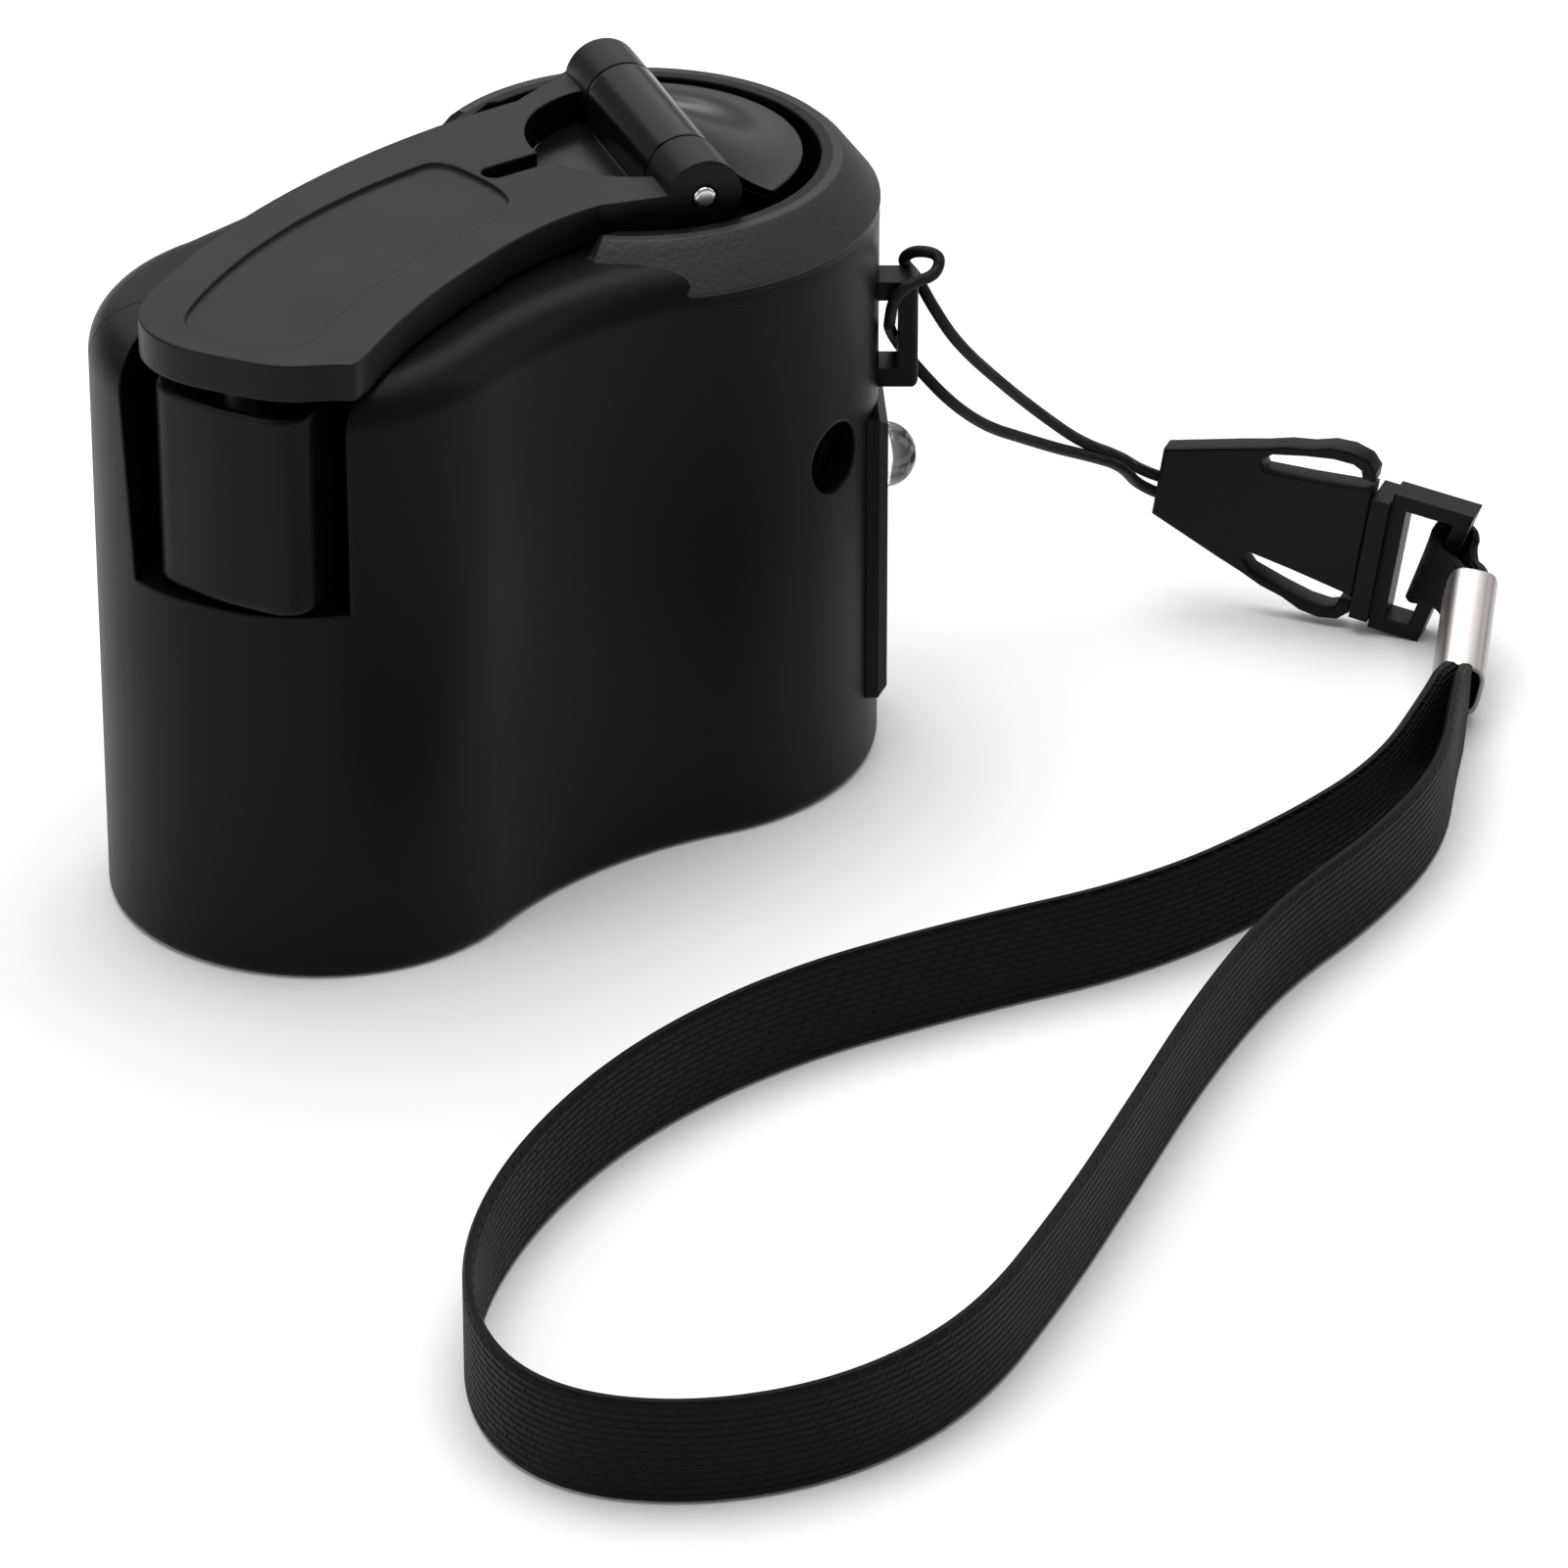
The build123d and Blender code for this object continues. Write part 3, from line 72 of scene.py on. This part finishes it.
class Finish:
    """A material with a principled shader, built step by step."""

    def __init__(self, name, colour, rough, metal=0.0, spec=0.5, **more):
        self.mat = bpy.data.materials.new(name)
        self.mat.use_nodes = True
        self.tree = self.mat.node_tree
        self.shader = self.tree.nodes["Principled BSDF"]
        if not isinstance(colour, (tuple, list)):
            colour = (colour, colour, colour)
        self.set("Base Color", (*[srgb(c) for c in colour], 1))
        self.set("Roughness", rough)
        self.set("Metallic", metal)
        self.set("Specular IOR Level", spec)
        for key, value in more.items():
            self.set(key.replace("_", " "), value)
        self.mat.diffuse_color = (*[srgb(c) for c in colour], 1)
        self.normal = None

    def set(self, name, value):
        self.shader.inputs[name].default_value = value

    def node(self, kind, **settings):
        n = self.tree.nodes.new(kind)
        for key, value in settings.items():
            if key in n.inputs:
                n.inputs[key].default_value = value
            else:
                setattr(n, key, value)
        return n

    def link(self, a, b):
        self.tree.links.new(a, b)

    def place(self, kind="Object"):
        return self.node("ShaderNodeTexCoord").outputs[kind]

    def edges(self, radius):
        """Soft light on every edge."""
        n = self.node("ShaderNodeBevel", samples=6, Radius=radius)
        self.bump_on(n.outputs["Normal"])
        return self

    def bump_on(self, socket):
        self.normal = socket
        self.link(socket, self.shader.inputs["Normal"])

    def bump(self, height, strength, distance):
        n = self.node("ShaderNodeBump", Strength=strength, Distance=distance)
        self.link(height, n.inputs["Height"])
        if self.normal is not None:
            self.link(self.normal, n.inputs["Normal"])
        self.bump_on(n.outputs["Normal"])
        return self

    def grain(self, scale, strength, distance, detail=4.0):
        n = self.node("ShaderNodeTexNoise", Scale=scale, Detail=detail)
        self.link(self.place(), n.inputs["Vector"])
        return self.bump(n.outputs["Fac"], strength, distance)

    def cloudy_rough(self, low, high, scale):
        """Roughness that wanders a little, as on handled plastic."""
        n = self.node("ShaderNodeTexNoise", Scale=scale, Detail=3.0)
        self.link(self.place(), n.inputs["Vector"])
        m = self.node("ShaderNodeMapRange")
        m.inputs["To Min"].default_value = low
        m.inputs["To Max"].default_value = high
        self.link(n.outputs["Fac"], m.inputs["Value"])
        self.link(m.outputs["Result"], self.shader.inputs["Roughness"])
        return self


body = Finish("case_plastic", 0.035, 0.42, spec=0.11).edges(0.0004)
body.cloudy_rough(0.38, 0.46, 90).grain(5200, 0.10, 0.00004)
arm_black = Finish("arm_plastic", 0.04, 0.36, spec=0.16).edges(0.00035)
arm_black.cloudy_rough(0.32, 0.42, 120).grain(5200, 0.08, 0.00004)
knob_black = Finish("knob_plastic", 0.035, 0.34, spec=0.12).edges(0.0003)
knob_black.cloudy_rough(0.30, 0.40, 160).grain(5200, 0.08, 0.00004)
hub_gloss = Finish("hub_gloss", 0.04, 0.22, spec=0.16).edges(0.0003)
hub_gloss.cloudy_rough(0.16, 0.28, 260).grain(900, 0.10, 0.00005)
spark = Finish("spark_plastic", 0.085, 0.58, spec=0.45).edges(0.0002)
spark.grain(2400, 0.6, 0.00012)
trim_black = Finish("trim_plastic", 0.04, 0.40, spec=0.13).edges(0.0002)
trim_black.grain(4200, 0.10, 0.00004)
nickel = Finish("nickel", (0.80, 0.80, 0.80), 0.24, metal=1.0).edges(0.0002)
brushed = Finish("brushed_nickel", (0.70, 0.68, 0.67), 0.38, metal=1.0).edges(0.0002)
brushed.grain(1500, 0.25, 0.00006)
steel = Finish("steel", (0.70, 0.70, 0.71), 0.33, metal=1.0).edges(0.0001)
pin_steel = Finish("pin_steel", (0.86, 0.86, 0.85), 0.18, metal=1.0).edges(0.00015)
lens = Finish("lens", (0.97, 0.98, 0.98), 0.03, IOR=1.5, Transmission_Weight=1.0)
nylon = Finish("nylon", (0.90, 0.88, 0.83), 0.5)
board_green = Finish("board_green", (0.12, 0.38, 0.22), 0.45)
copper = Finish("copper", (0.72, 0.40, 0.20), 0.3, metal=1.0)
ferrite = Finish("ferrite", 0.2, 0.6)
sleeve = Finish("sleeve", (0.14, 0.2, 0.36), 0.35)
bronze = Finish("bronze", (0.62, 0.47, 0.26), 0.4, metal=1.0)
cord_black = Finish("string", 0.06, 0.6, spec=0.2)
webbing = Finish("webbing", 0.035, 0.62, spec=0.14)

finish_of = {
    "front_shell": body, "rear_shell": body, "case_screws": steel, "end_panel": trim_black,
    "led_lamp": lens, "usb_shell": nickel, "usb_tongue": trim_black, "charge_jack": trim_black,
    "circuit_board": board_green, "smoothing_capacitor": sleeve, "power_choke": ferrite,
    "lanyard_bail": trim_black, "crank_bush": bronze, "lower_gear_plate": steel,
    "upper_gear_plate": steel, "plate_pillars": steel, "idler_axle": steel, "generator_can": steel,
    "generator_end_cap": trim_black, "generator_magnets": ferrite, "string_cord": cord_black,
    "buckle_socket": trim_black, "crank_hub": hub_gloss, "crank_shaft": steel, "crank_gear": nylon,
    "shaft_clip": steel, "hinge_pin": pin_steel, "crank_arm": arm_black, "knob_pin": steel,
    "knob": knob_black, "idler_gear": nylon, "rotor_core": steel, "rotor_coils": copper,
    "generator_shaft": steel, "generator_pinion": bronze, "buckle_frame": trim_black,
    "strap_clamp": brushed, "wrist_strap": webbing,
}


def dress(obj, finish, angle=32):
    obj.data.materials.clear()
    obj.data.materials.append(finish.mat)
    obj.data.shade_smooth()
    obj.data.set_sharp_from_angle(angle=math.radians(angle))


for name, obj in nodes.items():
    dress(obj, finish_of[name])


def new_piece(name, mesh, finish, angle):
    """Object of one material, smooth but for edges sharper than the angle."""
    obj = bpy.data.objects.new(name, mesh)
    scene.collection.objects.link(obj)
    dress(obj, finish, angle)
    return obj


# ------------------------------------------------------------------ collar and hub
def turned_piece(name, profile, start, end, finish, slant=0.0, steps=120):
    """Part of a ring from a closed outline of (radius, height), between two headings.

    Its first end leans by slant degrees for each millimetre below the top."""
    verts, faces = [], []
    n = len(profile)
    top = max(z for r, z in profile)
    for i in range(steps + 1):
        for r, z in profile:
            first = start + slant * (top - z)
            verts.append((ahead(first + (end - first) * i / steps, r) + Vector((0, 0, z))) * MM)
    for i in range(steps):
        for k in range(n):
            faces.append((i * n + k, i * n + (k + 1) % n, (i + 1) * n + (k + 1) % n, (i + 1) * n + k))
    faces.append(tuple(range(n)))
    faces.append(tuple(steps * n + k for k in range(n - 1, -1, -1)))
    mesh = bpy.data.meshes.new(name)
    mesh.from_pydata(verts, [], faces)
    return new_piece(name, mesh, finish, 20)


# textured cone round the hub well, over the source's rounder edge, and the wall under it
collar_end = 118.0
cone_outline = [
    (14.5, 48.31), (15.3, 48.31), (15.95, 47.75), (18.06, 45.0), (18.08, 44.75), (17.2, 44.6), (14.5, 47.6),
]
wall_outline = [(17.4, 44.8), (18.05, 44.8), (18.03, 43.4), (18.0, 42.2), (17.4, 42.2)]
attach(turned_piece("collar_band", cone_outline, -131.5, collar_end, spark, slant=-1.15), "housing")
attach(turned_piece("collar_skirt", wall_outline, -112.0, collar_end, body, slant=10.0), "housing")

# dome of the hub on the side away from the arm, low enough at its edge for the unfolded arm
dome_crown = 51.6
dome_foot = 48.45
dome_r = 12.3
dome_hole_r = 0.2
dome_sunk = 0.6
dome_outline = [(dome_hole_r, dome_foot - dome_sunk), (dome_r, dome_foot - dome_sunk)]
for k in range(21):
    r = dome_r - (dome_r - dome_hole_r) * k / 20
    rise = math.cos(math.pi / 2 * r / dome_r) ** 2
    dome_outline.append((r, dome_foot + (dome_crown - dome_foot) * rise))
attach(turned_piece("hub_dome", dome_outline, -68.0, 50.0, hub_gloss), "crank")


# ------------------------------------------------------------------ routes
def add_spline(curve, route):
    """One open smooth spline with the route's points as its control points."""
    spline = curve.splines.new("NURBS")
    spline.points.add(len(route) - 1)
    for point, p in zip(spline.points, route):
        point.co = (*(Vector(p) * MM), 1)
    spline.order_u = 3
    spline.use_endpoint_u = True
    spline.resolution_u = 12


def line_of(route):
    """The points, in metres, that the route's own spline gives."""
    curve = bpy.data.curves.new("route", "CURVE")
    curve.dimensions = "3D"
    add_spline(curve, route)
    obj = bpy.data.objects.new("route", curve)
    scene.collection.objects.link(obj)
    mesh = bpy.data.meshes.new_from_object(obj)
    points = [v.co.copy() for v in mesh.vertices]
    bpy.data.objects.remove(obj)
    bpy.data.curves.remove(curve)
    bpy.data.meshes.remove(mesh)
    return points


def placed(x, y, z, spot):
    """Matrix that lays three directions on x, y and z, with its origin at a spot in millimetres."""
    turned = Matrix((x, y, z)).transposed().to_4x4()
    return Matrix.Translation(spot * MM) @ turned


def plate_from(name, outlines, thick, round_by=0.0):
    """Mesh of a flat plate from closed outlines, the inner ones its openings."""
    curve = bpy.data.curves.new(name, "CURVE")
    curve.dimensions = "2D"
    curve.fill_mode = "BOTH"
    curve.extrude = (thick / 2 - round_by) * MM
    curve.bevel_depth = round_by * MM
    curve.bevel_resolution = 2
    curve.offset = -round_by * MM
    for outline in outlines:
        spline = curve.splines.new("POLY")
        spline.points.add(len(outline) - 1)
        for point, (x, y) in zip(spline.points, outline):
            point.co = (x * MM, y * MM, 0, 1)
        spline.use_cyclic_u = True
    obj = bpy.data.objects.new(name, curve)
    scene.collection.objects.link(obj)
    mesh = bpy.data.meshes.new_from_object(obj)
    bpy.data.objects.remove(obj)
    return mesh


# ------------------------------------------------------------------ buckle
buckle_heading = -53.0
tilt = math.radians(8.5)
buckle_x = (ahead(buckle_heading, math.cos(tilt)) - Vector((0, 0, math.sin(tilt)))).normalized()
buckle_side = ahead(buckle_heading - 90)
buckle_y = buckle_side.cross(buckle_x)
tail = Vector((46.3, -2.9, 9.25))

socket_low, socket_high = -0.8, 1.2
socket_round = 0.22
mid = 0.95
# one half from the tail to the mouth: outside of the side arm, then the slot behind it
half_side = [
    (-0.2, 2.9), (5.6, 4.95), (7.6, 5.6), (9.4, 6.3), (11.2, 6.7), (12.8, 7.35), (14.4, 7.5), (15.9, 7.15),
    (16.7, 6.3), (16.7, 5.4), (15.7, 5.45),
]
inner_side = [
    (15.5, 6.1), (14.8, 6.4), (13.2, 6.35), (11.0, 5.9), (8.4, 5.2), (7.6, 4.4), (8.0, 3.7), (11.6, 4.1),
    (15.9, 4.7), (16.75, 5.0),
]
upper = half_side + inner_side + [(16.75, 0)]
outline = [(x, mid + y) for x, y in upper] + [(x, mid - y) for x, y in upper[::-1]]
socket_mesh = plate_from("buckle_socket_open", [outline], socket_high - socket_low, socket_round)
socket_mesh.transform(Matrix.Translation((0, 0, (socket_high + socket_low) / 2 * MM)))
socket_mesh.transform(placed(buckle_x, buckle_y, buckle_side, tail))
socket = new_piece("buckle_socket_open", socket_mesh, trim_black, 35)
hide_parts("buckle_socket")
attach(socket, "housing")

# ------------------------------------------------------------------ wrist strap
strap_thick = 0.8
strap_width = 7.8
strap_z = 0.15 + strap_width / 2
loop_spots = [
    (47.0, -40.2), (39.6, -48.7), (29.5, -54.6), (16.8, -59.4), (4.7, -67.1), (-7.7, -76.5),
    (-19.5, -85.3), (-32.8, -94.0), (-44.5, -96.2), (-54.8, -93.4), (-61.6, -86.8), (-62.0, -77.6),
    (-56.5, -67.5), (-46.5, -58.4), (-33.5, -51.5), (-19.0, -48.4), (-4.0, -49.4), (10.5, -51.6),
    (23.5, -49.8), (35.5, -46.2), (45.5, -39.0),
]


def square_to(way, axis):
    """The part of a direction at right angles to an axis, one unit long."""
    return (way - axis * way.dot(axis)).normalized()


# bar of the buckle frame that the strap is folded round
lean = math.radians(20.0)
bar_up = ahead(buckle_heading, math.sin(lean)) + Vector((0, 0, math.cos(lean)))
bar_at = tail + buckle_x * 23.1
fold_out = square_to(ahead(230.0), bar_up)
fold_side = bar_up.cross(fold_out)

# axis of the clamp, which is turned a little from the photograph's plane
clamp_top = Vector((58.72, -26.42, 6.55))
clamp_foot = Vector((52.64, -33.09, 2.93))
clamp_down = (clamp_foot - clamp_top).normalized()
clamp_side = square_to(right + up * 0.25 - back * 0.36, clamp_down)


def fold(out, side):
    return bar_at + fold_out * out + fold_side * side


def in_clamp(share, side):
    return clamp_top.lerp(clamp_foot, share) + clamp_side * side


def past_clamp(side):
    spot = in_clamp(1.35, side)
    return Vector((spot.x, spot.y, 3.5))


route = [fold(-1.9, 0.0), fold(-1.4, 1.3), fold(0.6, 1.6), in_clamp(0.0, 0.75), in_clamp(0.5, 0.6)]
route += [in_clamp(1.0, 0.55), past_clamp(0.7)]
route += [Vector((x, y, strap_z)) for x, y in loop_spots]
route += [past_clamp(-0.7), in_clamp(1.0, -0.55), in_clamp(0.5, -0.6), in_clamp(0.0, -0.75)]
route += [fold(0.6, -1.6), fold(-1.4, -1.3), fold(-1.85, -0.2)]
strap_line = line_of(route)
strap_runs = [0.0]
for a, b in zip(strap_line, strap_line[1:]):
    strap_runs.append(strap_runs[-1] + (b - a).length)

# section of the strap with soft corners, in shares of its width and thickness
section = [
    (-0.5, -0.25), (-0.5, 0.25), (-0.47, 0.5), (-0.3, 0.5), (-0.1, 0.5), (0.1, 0.5), (0.3, 0.5),
    (0.47, 0.5), (0.5, 0.25), (0.5, -0.25), (0.47, -0.5), (0.3, -0.5), (0.1, -0.5), (-0.1, -0.5),
    (-0.3, -0.5), (-0.47, -0.5),
]
# distances from each end: where the strap turns from the bar's direction to upright, and is gathered
turned_over = 22.0
gather_from, gather_in = 1.5, 3.0
gather_to, gather_out = 24.0, 7.0
gather_narrower, gather_thicker = 0.42, 0.35
weave_lean = 0.8


def clipped(value):
    return max(0.0, min(1.0, value))


def strap_ring(i):
    """Points round the strap at one point of its line."""
    before = strap_line[max(i - 1, 0)]
    after = strap_line[min(i + 1, len(strap_line) - 1)]
    along = (after - before).normalized()
    from_end = min(strap_runs[i], strap_runs[-1] - strap_runs[i]) / MM
    at_bar = clipped(1 - from_end / turned_over)
    wide = square_to(Vector((0, 0, 1)) * (1 - at_bar) + bar_up * at_bar, along)
    thin = along.cross(wide)
    gather = clipped((from_end - gather_from) / gather_in) * clipped((gather_to - from_end) / gather_out)
    width = strap_width * (1 - gather_narrower * gather)
    thick = strap_thick * (1 + gather_thicker * gather)
    return [strap_line[i] + (wide * (w * width) + thin * (t * thick)) * MM for w, t in section]


def woven_mesh(name):
    """Band along the strap's line, with a map of millimetres for its weave."""
    n = len(section)
    last = len(strap_line) - 1
    verts = [v for i in range(last + 1) for v in strap_ring(i)]
    faces = []
    for i in range(last):
        for k in range(n):
            k2 = (k + 1) % n
            faces.append((i * n + k, i * n + k2, (i + 1) * n + k2, (i + 1) * n + k))
    faces.append(tuple(range(n - 1, -1, -1)))
    faces.append(tuple(last * n + k for k in range(n)))
    mesh = bpy.data.meshes.new(name)
    mesh.from_pydata(verts, [], faces)
    weave = mesh.uv_layers.new(name="weave")
    for loop in mesh.loops:
        ring, k = divmod(loop.vertex_index, n)
        across = section[k][0] * strap_width
        weave.data[loop.index].uv = (strap_runs[ring] / MM + weave_lean * across, across)
    mesh.update()
    return mesh


strap = new_piece("wrist_strap_woven", woven_mesh("wrist_strap_woven"), webbing, 60)
brick = webbing.node("ShaderNodeTexBrick", offset=0.5, offset_frequency=2, squash=1.0, **{
    "Scale": 1.0, "Color1": (1, 1, 1, 1), "Color2": (0.75, 0.75, 0.75, 1), "Mortar": (0, 0, 0, 1),
    "Mortar Size": 0.22, "Mortar Smooth": 1.0, "Brick Width": 1.6, "Row Height": 0.56,
})
webbing.link(webbing.node("ShaderNodeUVMap", uv_map="weave").outputs["UV"], brick.inputs["Vector"])
webbing.bump(brick.outputs["Color"], 1.0, 0.00035)
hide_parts("wrist_strap")
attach(strap, "strap_end")


# ------------------------------------------------------------------ strap clamp
def pressed_oval(half_wide, half_thick, squareness=0.55, steps=32):
    """Closed outline between an oval and a rectangle."""
    spots = []
    for k in range(steps):
        a = 2 * math.pi * k / steps
        x, y = (math.copysign(abs(c) ** squareness, c) for c in (math.cos(a), math.sin(a)))
        spots.append((half_wide * x, half_thick * y))
    return spots


clamp_wall = 0.35
clamp_wide, clamp_thick = 2.95, 1.95
clamp_outlines = [
    pressed_oval(clamp_wide, clamp_thick), pressed_oval(clamp_wide - clamp_wall, clamp_thick - clamp_wall),
]
clamp_mesh = plate_from("strap_clamp_pressed", clamp_outlines, (clamp_foot - clamp_top).length)
clamp_across = clamp_down.cross(clamp_side)
clamp_mesh.transform(placed(clamp_across, clamp_side, clamp_down, clamp_top.lerp(clamp_foot, 0.5)))
clamp = new_piece("strap_clamp_pressed", clamp_mesh, brushed, 50)
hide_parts("strap_clamp")
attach(clamp, "strap_end")

# ------------------------------------------------------------------ string
string_r = 0.45
string_apart = 0.62
bail_x = ahead(-33.0)
bail_y = ahead(57.0)


def by_bail(out, across, z):
    return bail_x * out + bail_y * across + Vector((0, 0, z))


def by_tail(along, side):
    return tail + buckle_x * along + (buckle_y - buckle_side / 3) * string_apart * side


# out from the tail to the bail, over it in a small loop, through it and back
string_route = [
    by_tail(2.0, 1), by_tail(-1.6, 1),
    (41.2, -4.4, 13.9), (36.4, -5.9, 17.0), (31.3, -7.4, 21.6), (27.1, -8.8, 25.6), (21.6, -10.7, 31.2),
    by_bail(21.9, 1.9, 35.0), by_bail(20.8, 2.6, 37.0), by_bail(19.6, 2.2, 38.5), by_bail(20.6, 1.0, 39.9),
    by_bail(22.6, 0.2, 39.9), by_bail(22.2, -0.9, 38.7), by_bail(20.4, -2.1, 38.7),
    by_bail(19.0, -2.6, 37.6), by_bail(18.75, -1.8, 35.2), by_bail(18.75, 0.9, 33.6),
    by_bail(19.3, 2.7, 31.6), by_bail(20.9, 2.6, 29.4),
    (20.9, -10.9, 26.6), (25.0, -9.6, 23.0), (29.2, -8.4, 20.4), (33.4, -7.1, 17.8), (37.3, -5.9, 15.6),
    (41.2, -4.6, 13.2), by_tail(-1.6, -1), by_tail(2.0, -1),
]
string_line = line_of(string_route)
string_data = bpy.data.curves.new("wrist_string", "CURVE")
string_data.dimensions = "3D"
string_data.bevel_depth = string_r * MM
string_data.bevel_resolution = 4
string_data.use_fill_caps = True
add_spline(string_data, string_route)
string_obj = bpy.data.objects.new("wrist_string", string_data)
scene.collection.objects.link(string_obj)
string_data.materials.append(cord_black.mat)
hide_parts("string_cord")
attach(string_obj, "housing")
wave = cord_black.node("ShaderNodeTexWave", Scale=420.0, Distortion=0.0)
wave.bands_direction = "DIAGONAL"
cord_black.link(cord_black.place(), wave.inputs["Vector"])
cord_black.bump(wave.outputs["Fac"], 0.5, 0.00008)

# ------------------------------------------------------------------ stage and light
floor_mat = bpy.data.materials.new("floor_white")
floor_mat.use_nodes = True
floor_shader = floor_mat.node_tree.nodes["Principled BSDF"]
floor_shader.inputs["Base Color"].default_value = (0.92, 0.92, 0.92, 1)
floor_shader.inputs["Roughness"].default_value = 0.9
floor_shader.inputs["Specular IOR Level"].default_value = 0.0
floor_mesh = bpy.data.meshes.new("floor")
floor_mesh.from_pydata([(-3, -3, 0), (3, -3, 0), (3, 3, 0), (-3, 3, 0)], [], [(0, 1, 2, 3)])
floor_mesh.materials.append(floor_mat)
floor = bpy.data.objects.new("floor", floor_mesh)
scene.collection.objects.link(floor)

world = bpy.data.worlds.new("studio")
scene.world = world
world.use_nodes = True
wt = world.node_tree
sky = wt.nodes["Background"]
sky.inputs["Color"].default_value = (1, 1, 1, 1)
sky.inputs["Strength"].default_value = 0.3
white = wt.nodes.new("ShaderNodeBackground")
white.inputs["Color"].default_value = (1, 1, 1, 1)
white.inputs["Strength"].default_value = 1.0
path = wt.nodes.new("ShaderNodeLightPath")
mix = wt.nodes.new("ShaderNodeMixShader")
either = wt.nodes.new("ShaderNodeMath")
either.operation = "MAXIMUM"
wt.links.new(path.outputs["Is Camera Ray"], either.inputs[0])
wt.links.new(path.outputs["Is Transmission Ray"], either.inputs[1])
wt.links.new(either.outputs[0], mix.inputs["Fac"])
wt.links.new(sky.outputs[0], mix.inputs[1])
wt.links.new(white.outputs[0], mix.inputs[2])
wt.links.new(mix.outputs[0], wt.nodes["World Output"].inputs["Surface"])


def area(name, spot, aim, size, power):
    data = bpy.data.lights.new(name, "AREA")
    data.shape = "RECTANGLE"
    data.size, data.size_y = size
    data.energy = power
    obj = bpy.data.objects.new(name, data)
    scene.collection.objects.link(obj)
    obj.location = spot
    look = (Vector(aim) - Vector(spot)).to_track_quat("-Z", "Y")
    obj.rotation_euler = look.to_euler()
    return obj


area("top_box", (0.05, 0.12, 0.9), (0, -0.02, 0), (0.9, 0.9), 9.0)
area("back_box", (0.42, 0.66, 0.50), (0, 0, 0.04), (1.2, 0.6), 2.1)
area("left_box", (-0.85, 0.05, 0.45), (0, 0, 0.03), (0.5, 0.5), 1.6)
area("right_box", (0.75, -0.25, 0.45), (0, 0, 0.03), (0.35, 0.5), 0.7)
